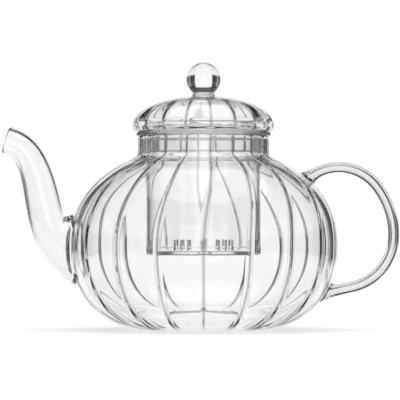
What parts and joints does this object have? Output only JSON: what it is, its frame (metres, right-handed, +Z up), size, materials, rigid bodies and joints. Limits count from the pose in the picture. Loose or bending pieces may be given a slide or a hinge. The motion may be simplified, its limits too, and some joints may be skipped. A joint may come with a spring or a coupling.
{
  "type": "glass teapot",
  "caption": "Ribbed round clear-glass teapot with a curved spout and loop handle, a lift-out slotted glass infuser and a lift-off domed lid with a ball knob, for brewing and pouring tea.",
  "frame": {"origin": "centre of the foot on the table plane, on the pot's axis", "axes": "+Z up along the pot's axis, spout towards -X, handle towards +X"},
  "size_m": [0.2234, 0.149, 0.1503],
  "materials": {
    "pot_glass": "clear blown glass, fire polished",
    "spout_glass": "clear drawn glass tube, fire polished",
    "weld_glass": "clear flame-welded glass bead",
    "handle_glass": "clear thick-walled glass tube",
    "infuser_glass": "clear glass tube with saw-cut slits",
    "lid_glass": "clear pressed glass, fire polished",
    "knob_glass": "clear solid glass ball"
  },
  "bodies": {
    "pot": {"pot_body": "pot_glass", "spout": "spout_glass", "spout_weld_ring": "weld_glass", "handle": "handle_glass", "handle_upper_weld": "weld_glass", "handle_lower_weld": "weld_glass"},
    "infuser": {"infuser_tube": "infuser_glass", "infuser_rim": "infuser_glass", "infuser_floor": "infuser_glass"},
    "lid": {"lid_dome": "lid_glass", "lid_collar": "lid_glass", "lid_knob": "knob_glass"}
  },
  "joints": [
    {"name": "infuser_lift", "type": "slide", "parent": "pot", "child": "infuser", "axis": [0, 0, 1], "range_m": [0, 0.085]},
    {"name": "lid_lift", "type": "slide", "parent": "infuser", "child": "lid", "axis": [0, 0, 1], "range_m": [0, 0.05]}
  ]
}
